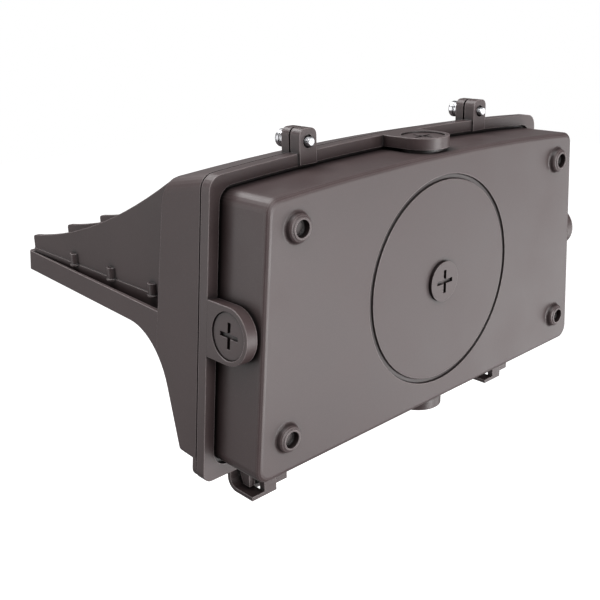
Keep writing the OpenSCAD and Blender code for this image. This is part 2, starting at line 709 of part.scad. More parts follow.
module front_housing() color([0.26, 0.24, 0.24]) difference() {
    union() {
        difference() {
            union() {
                lip();
                intersection() {
                    union() {
                        frame_form(0, over);
                        intersection() {
                            head_form(cove_z, -strip_drop, 0);
                            along_z(cove_z - over, over) head_plan();
                        }
                    }
                    along_x(-body_w, body_w) lower_profile();
                }
                intersection() {
                    along_z(-strip_drop - over, deck_z)
                        polygon(concat(
                            [[deck_x, inner_front_y]],
                            [for (i = [0:crown_n])
                                let(x = deck_x * (1 - 2 * i / crown_n)) [x, nose_y(x) + fin_setback]],
                            [[-deck_x, inner_front_y]]));
                    along_x(-deck_x, deck_x) lower_profile();
                }
            }
            intersection() {
                frame_form(door_wall, 2 * over);
                along_x(-body_w, body_w) inner_profile();
            }
            box([-body_w, seam_y, -2 * body_drop], [body_w, seam_y + body_drop, 2 * body_top]);
            both() groove();
            box([-room_w / 2, room_y0, -head_drop - over], [room_w / 2, room_y1, room_top_z]);
            box([-room_w / 2 - ledge_w, room_y0 - ledge_w, -head_drop - over],
                [room_w / 2 + ledge_w, room_y1 + ledge_w, ledge_z]);
        }
        for (i = [-fin_n:fin_n]) fin(i * fin_pitch);
        both() pads();
        both() along_y(seam_y - front_ear_t, seam_y) ear_shape(ear_foot_z);
        each_hinge() hook();
        frame_screw_places() rod_z(room_post_r, ledge_z, room_top_z + over);
        bracket_places() rod_y(post_r, front_y + door_wall / 2, bracket_y - bracket_t);
    }
    both() at_latch() {
        rod_y(screw_d / 2 + hole_gap, seam_y - front_ear_t - over, seam_y + over);
        rod_y(keeper_r + run_gap, seam_y - keeper_t, seam_y + over);
    }
    each_hinge() at_pin() rod_x(pin_d / 2 + run_gap, hook_x - over, hook_x + knuckle_w + over);
    frame_screw_places() rod_z(frame_screw_r, ledge_z - over, room_top_z - over);
    bracket_places() rod_y(small_r, inner_front_y, bracket_y);
    translate([lead_way_x, 0, lead_way_z]) rod_y(lead_way_r, room_y1 - over, inner_front_y + over);
}

// Nylon washers that keep the backed-out screws in the front ears
module retaining_washers() color([0.85, 0.85, 0.82])
    both() at_latch() difference() {
        rod_y(keeper_r, seam_y - keeper_t, seam_y);
        rod_y(screw_d / 2 + run_gap, seam_y - keeper_t - over, seam_y + over);
    }

// Latch screws with their washers, which slide out together
washer_y = seam_y - front_ear_t;
lock_y = washer_y - flat_washer_t;
head_y = lock_y - lock_washer_t;
screw_tip_h = screw_d * 0.12;
module captive_screw()
    at_latch() difference() {
        translate([0, head_y, 0]) rotate([-90, 0, 0]) rotate_extrude() polygon([
            [0, -screw_head_h], [screw_head_d / 2 - screw_tip_h, -screw_head_h],
            [screw_head_d / 2, screw_tip_h - screw_head_h], [screw_head_d / 2, 0], [screw_d / 2, 0],
            [screw_d / 2, screw_l - screw_tip_h], [screw_d / 2 - screw_tip_h, screw_l], [0, screw_l]]);
        for (a = [0, 90])
            translate([0, head_y - screw_head_h, 0]) rotate([0, a, 0])
                box([-screw_d / 2, -over, -screw_tip_h], [screw_d / 2, screw_head_h / 2, screw_tip_h]);
    }
module washer(r, t, y)
    at_latch() difference() {
        rod_y(r, y - t, y);
        rod_y(screw_d / 2 + run_gap, y - t - over, y + over);
    }
module flat_washer() washer(screw_head_d * 0.52, flat_washer_t, washer_y);
module lock_washer() difference() {
    washer(screw_head_d * 0.48, lock_washer_t, lock_y);
    at_latch() translate([0, lock_y - lock_washer_t / 2, 0]) rotate([0, 0, 30])
        box([-screw_tip_h, -lock_washer_t, 0], [screw_tip_h, lock_washer_t, screw_head_d]);
}
module captive_screw_right() color([0.75, 0.75, 0.76]) captive_screw();
module lock_washer_right() color([0.66, 0.66, 0.68]) lock_washer();
module flat_washer_right() color([0.72, 0.72, 0.73]) flat_washer();
module captive_screw_left() color([0.75, 0.75, 0.76]) mirror([1, 0, 0]) captive_screw();
module lock_washer_left() color([0.66, 0.66, 0.68]) mirror([1, 0, 0]) lock_washer();
module flat_washer_left() color([0.72, 0.72, 0.73]) mirror([1, 0, 0]) flat_washer();

// Light engine, from the deck down: board, chips, optic plate, lens, gasket, frame
engine_y = (room_y0 + room_y1) / 2;
board_w = room_w - 2 * board_side;
board_l = room_y1 - room_y0 - 2 * board_end;
board_z = room_top_z - board_t;
chip_z = board_z - chip_t;
optic_rim_t = optic_t;
optic_z = chip_z - optic_t;
board_head_r = small_r * 1.9;
chip_dx = board_w / (chip_n + 1);
chip_dy = board_l / (chip_rows + 1);
dome_r = chip_w * 1.2;
dome_h = chip_t * 1.2;
lens_w = board_w + frame_lip_w;
lens_l = board_l + frame_lip_w;
lens_top_z = optic_z - dome_h - hole_gap;
lens_low_z = lens_top_z - lens_t;
frame_top_z = lens_low_z - lens_seal_t;
module chip_places()
    for (i = [1:chip_n])
        for (j = [1:chip_rows])
            translate([i * chip_dx - board_w / 2, engine_y + j * chip_dy - board_l / 2, 0]) children();
module board_screw_places()
    for (sx = [-1, 1])
        for (sy = [-1, 1])
            translate([sx * (board_w / 2 - chip_w), engine_y + sy * (board_l / 2 - chip_w), 0]) children();
module plate(w, l, z0, z1) box([-w / 2, engine_y - l / 2, z0], [w / 2, engine_y + l / 2, z1]);

module led_board() color([0.9, 0.92, 0.9]) difference() {
    plate(board_w, board_l, board_z, room_top_z);
    board_screw_places() rod_z(small_r + run_gap, board_z - over, room_top_z + over);
}
module led_chips() color([0.95, 0.85, 0.35])
    chip_places() translate([-chip_w / 2, -chip_w / 2, chip_z]) cube([chip_w, chip_w, chip_t]);
module board_screws() color([0.7, 0.7, 0.72])
    board_screw_places() {
        rod_z(small_r, board_z, room_top_z);
        rod_z(board_head_r, board_z - chip_t, board_z);
    }
optic_w = board_w - 2 * (chip_w + hole_gap);
optic_l = board_l - 2 * (chip_w + board_head_r + hole_gap);
module optic_plate() color([0.85, 0.9, 0.95, 0.5]) {
    difference() {
        plate(optic_w, optic_l, optic_z, board_z);
        plate(optic_w - 2 * optic_rim_t, optic_l - 2 * optic_rim_t, chip_z, board_z + over);
    }
    chip_places() translate([0, 0, optic_z - dome_h])
        cylinder(r1 = dome_r * 0.7, r2 = dome_r, h = dome_h + optic_t / 2);
}
module lens() color([0.8, 0.85, 0.9, 0.4]) plate(lens_w, lens_l, lens_low_z, lens_top_z);
module lens_gasket() color([0.07, 0.07, 0.07]) difference() {
    plate(lens_w, lens_l, frame_top_z, lens_low_z);
    plate(lens_w - frame_lip_w, lens_l - frame_lip_w, frame_top_z - over, lens_low_z + over);
}
module lens_frame() color([0.24, 0.22, 0.22]) difference() {
    box([-room_w / 2 - ledge_w + frame_gap, room_y0 - ledge_w + frame_gap, frame_top_z - frame_lip_t],
        [room_w / 2 + ledge_w - frame_gap, room_y1 + ledge_w - frame_gap, ledge_z]);
    plate(lens_w + 2 * run_gap, lens_l + 2 * run_gap, frame_top_z, ledge_z + over);
    plate(lens_w - frame_lip_w, lens_l - frame_lip_w, frame_top_z - frame_lip_t - over, ledge_z + over);
    frame_screw_places() rod_z(frame_screw_r + run_gap, frame_top_z - frame_lip_t - over, ledge_z + over);
    frame_screw_places() rod_z(frame_screw_r * 2 + run_gap, frame_top_z - frame_lip_t - over, frame_top_z);
}
module lens_frame_screws() color([0.7, 0.7, 0.72])
    frame_screw_places() {
        rod_z(frame_screw_r - run_gap, frame_top_z - frame_lip_t, room_top_z - 2 * over);
        rod_z(frame_screw_r * 2, frame_top_z - frame_lip_t, frame_top_z);
    }

// Driver on its bracket, inside the frame
driver_foot_t = bracket_t;
driver_foot_w = screw_d * 1.6;
driver_z = driver_rise + driver_w / 2;
module driver_foot_places()
    for (sx = [-1, 1]) translate([sx * (driver_l / 2 + driver_foot_w / 2), 0, driver_z]) children();
module driver_bracket() color([0.68, 0.7, 0.72]) difference() {
    box([-bracket_x, bracket_y - bracket_t, bracket_low], [bracket_x, bracket_y, bracket_top]);
    bracket_places() rod_y(small_r + run_gap, bracket_y - bracket_t - over, bracket_y + over);
    driver_foot_places() rod_y(small_r, bracket_y - bracket_t - over, bracket_y + over);
    terminal_screw_places() rod_y(small_r, bracket_y - bracket_t - over, bracket_y + over);
    translate([lead_way_x, 0, lead_way_z]) rod_y(lead_way_r, bracket_y - bracket_t - over, bracket_y + over);
}
module pan_screw(under_y, shank_h) {
    rod_y(small_r - run_gap, under_y - shank_h, under_y);
    rod_y(small_r * 2, under_y, under_y + small_r * 1.2);
}
module bracket_screws() color([0.7, 0.7, 0.72])
    bracket_places() pan_screw(bracket_y, bracket_t + screw_d / 2);
module driver() color([0.86, 0.87, 0.88]) {
    box([-driver_l / 2, bracket_y, driver_rise],
        [driver_l / 2, bracket_y + driver_t, driver_rise + driver_w]);
    difference() {
        box([-driver_l / 2 - driver_foot_w, bracket_y, driver_z - driver_foot_w],
            [driver_l / 2 + driver_foot_w, bracket_y + driver_foot_t, driver_z + driver_foot_w]);
        driver_foot_places() rod_y(small_r + run_gap, bracket_y - over, bracket_y + driver_foot_t + over);
    }
}
module driver_screws() color([0.7, 0.7, 0.72])
    driver_foot_places() pan_screw(bracket_y + driver_foot_t, driver_foot_t + bracket_t);

// Terminal block for the supply wires, under the driver
terminal_h = screw_d * 2.6;
terminal_t = screw_d * 2.4;
terminal_top = driver_rise - wire_d * 2.4;
terminal_x = driver_l / 2 - terminal_l / 2;
terminal_n = 3;
terminal_pitch = terminal_l * 0.7 / (terminal_n + 1);
module terminal_screw_places()
    for (s = [-1, 1])
        translate([terminal_x + s * (terminal_l / 2 - small_r * 3), 0, terminal_top - terminal_h / 2])
            children();
module terminal_block() color([0.12, 0.12, 0.13]) difference() {
    box([terminal_x - terminal_l / 2, bracket_y, terminal_top - terminal_h],
        [terminal_x + terminal_l / 2, bracket_y + terminal_t, terminal_top]);
    terminal_screw_places() {
        rod_y(small_r + run_gap, bracket_y - over, bracket_y + terminal_t + over);
        rod_y(small_r * 2 + hole_gap, bracket_y + terminal_t / 2, bracket_y + terminal_t + over);
    }
    for (i = [-1:1])
        translate([terminal_x + i * terminal_pitch, bracket_y + terminal_t / 2, 0])
            rod_z(wire_d / 2 + run_gap, terminal_top - terminal_h - over, terminal_top - terminal_h / 2);
}
module terminal_screws() color([0.7, 0.7, 0.72])
    terminal_screw_places() pan_screw(bracket_y + terminal_t / 2, terminal_t / 2 + bracket_t);

// Wires: round tubes swept along a route of points
function unit(v) = v / norm(v);
function way(p, i) = unit(p[min(i + 1, len(p) - 1)] - p[max(i - 1, 0)]);
wire_sides = 8;
wire_ref = [1, 0.2, 0.1];
module wire(p, r) {
    rings = [for (i = [0:len(p) - 1])
        let(t = way(p, i), u = unit(cross(t, wire_ref)), v = cross(t, u))
        for (k = [0:wire_sides - 1])
            let(a = 360 * k / wire_sides) p[i] + r * (cos(a) * u + sin(a) * v)];
    m = len(p) - 1;
    n = wire_sides;
    polyhedron(rings, concat(
        [[for (k = [0:n - 1]) k]],
        [for (i = [0:m - 1]) for (k = [0:n - 1])
            each [[i * n + k, (i + 1) * n + k, (i + 1) * n + (k + 1) % n],
                  [i * n + k, (i + 1) * n + (k + 1) % n, i * n + (k + 1) % n]]],
        [[for (k = [n - 1:-1:0]) m * n + k]]));
}
function spline(a, b, c, d, n) = [for (i = [0:n])
    let(t = i / n, s = 1 - t) s * s * s * a + 3 * s * s * t * b + 3 * s * t * t * c + t * t * t * d];
wire_n = 10;

// Supply wires: up into the terminal block from below, with their free ends turned up beside it
lead_y = bracket_y + terminal_t / 2;
lead_drop = terminal_h * 0.8;
lead_turn = wire_d * 4;
module supply_leads()
    for (i = [-1:1]) {
        x = terminal_x + i * terminal_pitch;
        z0 = terminal_top - terminal_h;
        color(i < 0 ? [0.1, 0.1, 0.1] : i > 0 ? [0.85, 0.85, 0.85] : [0.15, 0.5, 0.25])
            wire(concat(
                [[x, lead_y, terminal_top - terminal_h / 2]],
                spline([x, lead_y, z0], [x, lead_y, z0 - lead_drop], [x, lead_y + lead_turn, z0 - lead_drop],
                    [x, lead_y + lead_turn, z0 + terminal_h], wire_n)),
                wire_d / 2);
    }

// Leads of the light engine: down from the driver, then forward through the lead way
led_wire_r = wire_d * 0.35;
led_lead_y = bracket_y + wire_d * 2;
module led_leads() color([0.75, 0.1, 0.1])
    for (s = [-1, 1]) {
        x = lead_way_x + s * led_wire_r * 1.3;
        wire(concat(
            spline([x, led_lead_y, driver_rise], [x, led_lead_y, lead_way_z],
                [x, led_lead_y - wire_d, lead_way_z], [x, inner_front_y, lead_way_z], wire_n),
            [[x, room_y1, lead_way_z]],
            spline([x, room_y1 - wire_d, lead_way_z], [x, room_y1 - wire_d * 3, lead_way_z],
                [x, room_y1 - wire_d * 3, board_z - led_wire_r],
                [x, engine_y + board_l / 2 - wire_d, board_z - led_wire_r], wire_n)),
            led_wire_r);
    }

back_box();
rear_plug();
side_plug_right();
side_plug_left();
top_plug();
bottom_plug();
box_gasket();
hinge_pins();
ground_screw();
front_housing();
retaining_washers();
captive_screw_right();
lock_washer_right();
flat_washer_right();
captive_screw_left();
lock_washer_left();
flat_washer_left();
led_board();
led_chips();
board_screws();
optic_plate();
lens();
lens_gasket();
lens_frame();
lens_frame_screws();
driver_bracket();
bracket_screws();
driver();
driver_screws();
terminal_block();
terminal_screws();
supply_leads();
led_leads();
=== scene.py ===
"""Looks of the wall pack light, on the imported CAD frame. Lengths are in metres."""
import json
import math
import bmesh
import bpy
from mathutils import Matrix, Vector


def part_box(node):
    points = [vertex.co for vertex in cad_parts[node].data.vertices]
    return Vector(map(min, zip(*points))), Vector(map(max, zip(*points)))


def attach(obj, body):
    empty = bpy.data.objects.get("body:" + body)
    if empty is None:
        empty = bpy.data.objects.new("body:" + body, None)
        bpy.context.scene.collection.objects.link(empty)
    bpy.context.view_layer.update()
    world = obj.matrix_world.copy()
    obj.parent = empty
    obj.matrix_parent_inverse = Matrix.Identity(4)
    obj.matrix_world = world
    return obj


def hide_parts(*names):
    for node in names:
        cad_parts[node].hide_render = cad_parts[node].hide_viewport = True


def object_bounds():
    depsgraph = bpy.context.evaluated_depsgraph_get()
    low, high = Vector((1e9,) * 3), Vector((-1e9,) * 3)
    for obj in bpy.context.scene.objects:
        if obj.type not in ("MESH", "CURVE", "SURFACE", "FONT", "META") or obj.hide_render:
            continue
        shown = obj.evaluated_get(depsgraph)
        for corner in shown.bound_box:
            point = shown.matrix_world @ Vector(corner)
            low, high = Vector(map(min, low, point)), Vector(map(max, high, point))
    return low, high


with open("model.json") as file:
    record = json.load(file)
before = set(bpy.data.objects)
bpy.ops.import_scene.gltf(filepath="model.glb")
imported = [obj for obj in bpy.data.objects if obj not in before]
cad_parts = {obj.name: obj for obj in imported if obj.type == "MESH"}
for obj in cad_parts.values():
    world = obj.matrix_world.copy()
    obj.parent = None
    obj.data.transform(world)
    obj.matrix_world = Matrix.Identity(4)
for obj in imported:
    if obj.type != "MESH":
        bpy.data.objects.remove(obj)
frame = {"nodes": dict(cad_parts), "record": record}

MM = 0.001
scene = bpy.context.scene
nodes = frame["nodes"]
cad_box = [list(v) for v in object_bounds()]


def placed(name, data):
    """A new object, linked to the scene."""
    thing = bpy.data.objects.new(name, data)
    scene.collection.objects.link(thing)
    return thing


# Camera, as the photo was taken
AZIMUTH = math.radians(137.256)
ELEVATION = math.radians(19.492)
ROLL = math.radians(-1.302)
EYE = (0.378249, 0.286622, 0.15694)
SENSOR_MM = 36.0
FOCAL_PX = 880.0
FRAME_PX = 600.0

back = Vector((math.sin(AZIMUTH) * math.cos(ELEVATION),
               -math.cos(AZIMUTH) * math.cos(ELEVATION), math.sin(ELEVATION)))
level = Vector((math.cos(AZIMUTH), math.sin(AZIMUTH), 0))
upward = back.cross(level)
right = level * math.cos(ROLL) + upward * math.sin(ROLL)
up = upward * math.cos(ROLL) - level * math.sin(ROLL)
camera = placed("camera", bpy.data.cameras.new("camera"))
camera.data.sensor_width = SENSOR_MM
camera.data.lens = SENSOR_MM * FOCAL_PX / FRAME_PX
pose = Matrix((right, up, back)).transposed().to_4x4()
pose.translation = Vector(EYE)
camera.matrix_world = pose
scene.camera = camera
scene.view_settings.view_transform = "Standard"

# Rays of a bevel or occlusion node
SAMPLES = 6
# How far the cosine of a leaning normal falls where an edge takes the full wear colour and painted
# highlight
EDGE_LEAN = 0.12
# Ranges of a noise value that are spread over the whole scale
NARROW = (0.35, 0.65)
WIDE = (0.3, 0.7)


# Node helpers
class Graph:
    """A material's node tree with short calls for the nodes used here."""

    def __init__(self, name):
        self.mat = bpy.data.materials.new(name)
        self.mat.use_nodes = True
        self.tree = self.mat.node_tree
        self.shader = self.tree.nodes["Principled BSDF"]
        self.where = self.tree.nodes.new("ShaderNodeTexCoord").outputs["Object"]

    def link(self, a, b):
        self.tree.links.new(a, b)

    def put(self, socket, value):
        if isinstance(value, bpy.types.NodeSocket):
            self.link(value, socket)
        else:
            socket.default_value = value

    def stretched(self, scale):
        n = self.tree.nodes.new("ShaderNodeMapping")
        n.inputs["Scale"].default_value = scale
        self.link(self.where, n.inputs["Vector"])
        return n.outputs["Vector"]

    def noise(self, scale, detail=2.0, rough=0.5, vector=None):
        n = self.tree.nodes.new("ShaderNodeTexNoise")
        n.inputs["Scale"].default_value = scale
        n.inputs["Detail"].default_value = detail
        n.inputs["Roughness"].default_value = rough
        self.link(vector or self.where, n.inputs["Vector"])
        return n.outputs["Fac"]

    def crystals(self, scale):
        """A random grey for each cell."""
        n = self.tree.nodes.new("ShaderNodeTexVoronoi")
        n.inputs["Scale"].default_value = scale
        self.link(self.where, n.inputs["Vector"])
        grey = self.tree.nodes.new("ShaderNodeRGBToBW")
        self.link(n.outputs["Color"], grey.inputs["Color"])
        return grey.outputs["Val"]

    def weave(self, scale):
        n = self.tree.nodes.new("ShaderNodeTexWave")
        n.inputs["Scale"].default_value = scale
        self.link(self.where, n.inputs["Vector"])
        return n.outputs["Fac"]

    def along_x(self):
        n = self.tree.nodes.new("ShaderNodeSeparateXYZ")
        self.link(self.where, n.inputs["Vector"])
        return n.outputs["X"]

    def bands(self, value, colours):
        """Each colour in turn over an equal part of 0 to 1."""
        n = self.tree.nodes.new("ShaderNodeValToRGB")
        self.link(value, n.inputs["Fac"])
        stops = n.color_ramp
        stops.interpolation = "CONSTANT"
        while len(stops.elements) < len(colours):
            stops.elements.new(1.0)
        for i, colour in enumerate(colours):
            stops.elements[i].position = i / len(colours)
            stops.elements[i].color = colour
        return n.outputs["Color"]

    def span(self, value, low, high, out_low=0.0, out_high=1.0):
        """The value with low to high spread over out_low to out_high, and held at the ends."""
        n = self.tree.nodes.new("ShaderNodeMapRange")
        self.put(n.inputs["Value"], value)
        limits = {"From Min": low, "From Max": high, "To Min": out_low, "To Max": out_high}
        for name, limit in limits.items():
            n.inputs[name].default_value = limit
        return n.outputs["Result"]

    def mix(self, factor, a, b, how="MIX"):
        n = self.tree.nodes.new("ShaderNodeMix")
        n.data_type = "RGBA"
        n.blend_type = how
        self.put(n.inputs["Factor"], factor)
        self.put(n.inputs["A"], a)
        self.put(n.inputs["B"], b)
        return n.outputs["Result"]

    def times(self, a, b):
        n = self.tree.nodes.new("ShaderNodeMath")
        n.operation = "MULTIPLY"
        self.put(n.inputs[0], a)
        self.put(n.inputs[1], b)
        return n.outputs[0]

    def rounded(self, radius):
        """Normals as if every edge had this radius."""
        n = self.tree.nodes.new("ShaderNodeBevel")
        n.samples = SAMPLES
        n.inputs["Radius"].default_value = radius
        return n.outputs["Normal"]

    def edges(self, radius):
        """1 along outer and inner edges, 0 on faces."""
        n = self.tree.nodes.new("ShaderNodeVectorMath")
        n.operation = "DOT_PRODUCT"
        geometry = self.tree.nodes.new("ShaderNodeNewGeometry")
        self.link(geometry.outputs["Normal"], n.inputs[0])
        self.link(self.rounded(radius), n.inputs[1])
        return self.span(n.outputs["Value"], 1.0, 1.0 - EDGE_LEAN)

    def open_sky(self, reach):
        """1 in the open, towards 0 deep in a groove, slot or corner narrower than reach."""
        n = self.tree.nodes.new("ShaderNodeAmbientOcclusion")
        n.samples = SAMPLES
        n.inputs["Distance"].default_value = reach
        return n.outputs["AO"]

    def shaded(self, colour, reach, low, high, dark):
        """The colour, darkened as painted shade where grooves and corners are closed in within reach."""
        depth = self.span(self.open_sky(reach), low, high, dark, 1.0)
        return self.mix(1.0, colour, depth, "MULTIPLY")

    def bump(self, height, depth, strength, normal=None):
        n = self.tree.nodes.new("ShaderNodeBump")
        n.inputs["Distance"].default_value = depth
        n.inputs["Strength"].default_value = strength
        self.link(height, n.inputs["Height"])
        if normal:
            self.link(normal, n.inputs["Normal"])
        return n.outputs["Normal"]

    def finish(self, **sockets):
        """Feeds the shader's sockets, whose names have _ for a space, and gives the material."""
        for name, value in sockets.items():
            self.put(self.shader.inputs[name.replace("_", " ")], value)
        return self.mat


def rgb(r, g, b):
    return (r, g, b, 1.0)


def toned(colour, share):
    return rgb(*(c * share for c in colour[:3]))


# Radii that the edges are shaded with
CAST_EDGE, PLUG_EDGE, METAL_EDGE, SHEET_EDGE = 0.8 * MM, 0.4 * MM, 0.15 * MM, 0.2 * MM
MOULDED_EDGE, CHIP_EDGE, CASE_EDGE, GLASS_EDGE = 0.3 * MM, 0.2 * MM, 0.8 * MM, 0.3 * MM

# Heights of the finest relief
PEEL_H, GRAIN_H, SCRATCH_H, MOULDED_H = 0.05 * MM, 0.02 * MM, 0.01 * MM, 0.03 * MM
SHEET_H, GLASS_H, WEAVE_H, WIRE_H = 0.02 * MM, 0.02 * MM, 0.01 * MM, 0.03 * MM

# How far a surface looks around for the walls of a groove, a corner, or a ridge's open air; the groove and
# corner reaches set how far painted shade spreads
GROOVE, CORNER, RIDGE = 3.2 * MM, 9 * MM, 1.6 * MM
METAL_GROOVE = 1.6 * MM


def powder_coat(name, base, wear_and_highlight, rough=0.42, edge=CAST_EDGE):
    """Satin powder coat over a casting: fine peel, cloudy tone, edges lightened by wear and painted
    highlight, painted shade in grooves and corners.
    """
    clouds, grains, peels, chips = 26, 1900, 620, 420
    g = Graph(name)
    cloud = g.noise(clouds, detail=4.0, rough=0.6)
    grain = g.noise(grains, rough=0.6)
    tone = g.mix(g.span(cloud, *NARROW), toned(base, 0.88), base)
    speck = g.mix(g.span(grain, 0.55, 0.8, 0.0, 0.12), tone, wear_and_highlight)
    # Painted shade: the colour is darkened in grooves and corners by how closed in they are
    deep = g.shaded(speck, GROOVE, 0.5, 0.93, dark=0.24)
    shade = g.shaded(deep, CORNER, 0.45, 0.97, dark=0.5)
    # Edges lightened with the wear colour: partly real wear, partly a painted highlight
    outer = g.span(g.open_sky(RIDGE), 0.8, 0.97)
    broken = g.span(g.noise(chips, detail=3.0, rough=0.7), *WIDE, 0.55, 1.0)
    edge_wear_and_highlight = g.times(g.times(g.edges(edge), outer), broken)
    peel = g.bump(g.noise(peels), PEEL_H, 0.35, g.rounded(edge))
    g.shader.inputs["Specular IOR Level"].default_value = 0.36
    return g.finish(Base_Color=g.mix(edge_wear_and_highlight, shade, wear_and_highlight),
                    Roughness=g.span(cloud, *WIDE, rough - 0.04, rough + 0.06),
                    Normal=g.bump(grain, GRAIN_H, 0.3, peel))


def bright_metal(name, base, rough, stretch):
    """Steel whose scratches run along the axis with the least stretch, with painted shade in its grooves.
    """
    scratches, blotches = 9, 160
    g = Graph(name)
    scratch = g.noise(scratches, detail=3.0, rough=0.6, vector=g.stretched(stretch))
    blotch = g.noise(blotches, detail=3.0, rough=0.6)
    tone = g.mix(g.span(blotch, 0.35, 0.7), base, toned(base, 0.78))
    # Painted shade: the colour is darkened deep in thread grooves and recesses
    return g.finish(Base_Color=g.shaded(tone, METAL_GROOVE, 0.45, 0.98, dark=0.05), Metallic=1.0,
                    Roughness=g.span(scratch, *WIDE, rough - 0.06, rough + 0.1),
                    Normal=g.bump(scratch, SCRATCH_H, 0.5, g.rounded(METAL_EDGE)))


def moulded(name, base, rough, grain, edge=MOULDED_EDGE, shade=0.85):
    """Plastic, rubber or paint: a soft cloud in its tone and a fine grain."""
    clouds = 70
    g = Graph(name)
    cloud = g.noise(clouds, detail=3.0, rough=0.6)
    fine = g.noise(grain, rough=0.6)
    return g.finish(Base_Color=g.mix(g.span(cloud, *WIDE), base, toned(base, shade)),
                    Roughness=g.span(fine, *WIDE, rough - 0.05, rough + 0.07),
                    Normal=g.bump(fine, MOULDED_H, 0.5, g.rounded(edge)))


def spangled(name, base):
    """Zinc-plated sheet: crystal spangle in tone and gloss."""
    spangles, grains = 260, 700
    g = Graph(name)
    crystal = g.crystals(spangles)
    return g.finish(Base_Color=g.mix(g.span(crystal, 0.2, 0.8), toned(base, 0.72), base), Metallic=1.0,
                    Roughness=g.span(crystal, 0.0, 1.0, 0.28, 0.46),
                    Normal=g.bump(g.noise(grains), SHEET_H, 0.4, g.rounded(SHEET_EDGE)))


def clear(name, tint, rough):
    """Glass or clear plastic with a faint wave."""
    waves, smears = 35, 240
    g = Graph(name)
    wave = g.noise(waves)
    return g.finish(Base_Color=g.mix(g.span(wave, *NARROW), tint, toned(tint, 0.97)),
                    Roughness=g.span(g.noise(smears), *WIDE, rough, rough + 0.05),
                    IOR=1.49, Transmission_Weight=0.94,
                    Normal=g.bump(wave, GLASS_H, 0.3, g.rounded(GLASS_EDGE)))


def board_mask(name, base, cream):
    """White solder mask over copper: a faint print of tracks and a woven relief."""
    threads, tracks, grains = 600, 60, 500
    g = Graph(name)
    track = g.noise(tracks, detail=3.0, rough=0.6)
    return g.finish(Base_Color=g.mix(g.span(track, 0.35, 0.7), base, cream),
                    Roughness=g.span(g.noise(grains), *WIDE, 0.3, 0.42),
                    Normal=g.bump(g.weave(threads), WEAVE_H, 0.25))


def wire_set(name, colours, mesh):
    """Wire insulation whose colour changes from one wire of the mesh to the next along X."""
    grains = 500
    g = Graph(name)
    xs = [v.co.x for v in mesh.vertices]
    fine = g.noise(grains, rough=0.6)
    return g.finish(Base_Color=g.bands(g.span(g.along_x(), min(xs), max(xs)), colours),
                    Roughness=g.span(fine, *WIDE, 0.27, 0.36),
                    Normal=g.bump(fine, WIRE_H, 0.5))


# Materials, by the record's slots
BLACK_WIRE, GREEN_WIRE, WHITE_WIRE = rgb(0.03, 0.03, 0.032), rgb(0.03, 0.24, 0.07), rgb(0.72, 0.72, 0.7)
ALONG_X, ALONG_Y = (40, 900, 900), (700, 60, 700)
materials = {
    # A powder coat's second colour is its wear, also used as a painted highlight on edges
    "cast_bronze": powder_coat("cast_bronze", rgb(0.0375, 0.0248, 0.025), rgb(0.21, 0.178, 0.178)),
    "plug_bronze": powder_coat(
        "plug_bronze", rgb(0.0385, 0.0255, 0.0257), rgb(0.15, 0.125, 0.125), rough=0.4, edge=PLUG_EDGE),
    "gasket_rubber": moulded("gasket_rubber", rgb(0.016, 0.016, 0.017), rough=0.72, grain=500),
    "pin_steel": bright_metal("pin_steel", rgb(0.1, 0.095, 0.095), rough=0.38, stretch=ALONG_X),
    "ground_green": moulded("ground_green", rgb(0.03, 0.26, 0.08), rough=0.32, grain=700),
    "nylon": moulded("nylon", rgb(0.75, 0.74, 0.69), rough=0.45, grain=600),
    "bright_steel": bright_metal("bright_steel", rgb(0.58, 0.58, 0.6), rough=0.24, stretch=ALONG_Y),
    "board_white": board_mask("board_white", rgb(0.8, 0.82, 0.8), cream=rgb(0.76, 0.7626, 0.704)),
    "led_phosphor": moulded("led_phosphor", rgb(0.85, 0.68, 0.16), rough=0.35, grain=1400, edge=CHIP_EDGE),
    "optic_clear": clear("optic_clear", rgb(0.93, 0.96, 0.98), rough=0.02),
    "lens_glass": clear("lens_glass", rgb(0.9, 0.95, 0.94), rough=0.01),
    "zinc_sheet": spangled("zinc_sheet", rgb(0.66, 0.68, 0.7)),
    "driver_case": moulded(
        "driver_case", rgb(0.74, 0.75, 0.76), rough=0.3, grain=800, edge=CASE_EDGE, shade=0.93),
    "terminal_black": moulded("terminal_black", rgb(0.028, 0.028, 0.031), rough=0.42, grain=800),
    "lead_insulation": wire_set(
        "lead_insulation", (BLACK_WIRE, GREEN_WIRE, WHITE_WIRE), nodes["supply_leads"].data),
    "lead_red": moulded("lead_red", rgb(0.5, 0.03, 0.03), rough=0.3, grain=500),
}
for part in frame["record"]["subparts"]:
    mesh = nodes[part["node"]].data
    mesh.materials.clear()
    mesh.materials.append(materials[part["material_slot"]])

# Steps of a circle, of a thread's turn and of a rounded corner
SIDES, THREAD_STEPS, ARC_STEPS = 64, 10, 6
# Edges that turn by more than this stay sharp
SHARP = math.radians(35)
OVERRUN = 1.1 * MM

# Latch screw: pan head with a waist above a collar
HEAD_ROUND, CROWN_SHARE, ROUND_START = 1.1 * MM, 1.6, -80
WAIST_R, WAIST_H, COLLAR_H = 4.1 * MM, 0.4 * MM, 0.9 * MM
CHAMFER = 0.22 * MM
# Its cross recess, whose slot width the lock washer's split shares
SLOT_HALF, SLOT_DEEP, RECESS_SHARE = 0.55 * MM, 1.7 * MM, 0.58
# Its shank, plain under the head, and its thread and point
SHANK_R, PLAIN_L, LEAD_IN = 2.5 * MM, 6 * MM, 0.1 * MM
PITCH, THREAD_DEPTH, THREAD_END = 0.8 * MM, 0.42 * MM, 0.5 * MM
POINT_H, POINT_SHARE = 0.2 * MM, 1.4
# Its washers
WASHER_PLAY, WASHER_INSET = 0.05 * MM, CHAMFER / 3


# Mesh helpers
def groove(y, turn, thread):
    """How deep the thread cuts at this y and this share of a turn."""
    if not thread or not thread[0] < y < thread[1]:
        return 0.0
    return THREAD_DEPTH * (1 + math.cos(math.tau * (y / PITCH - turn))) / 2


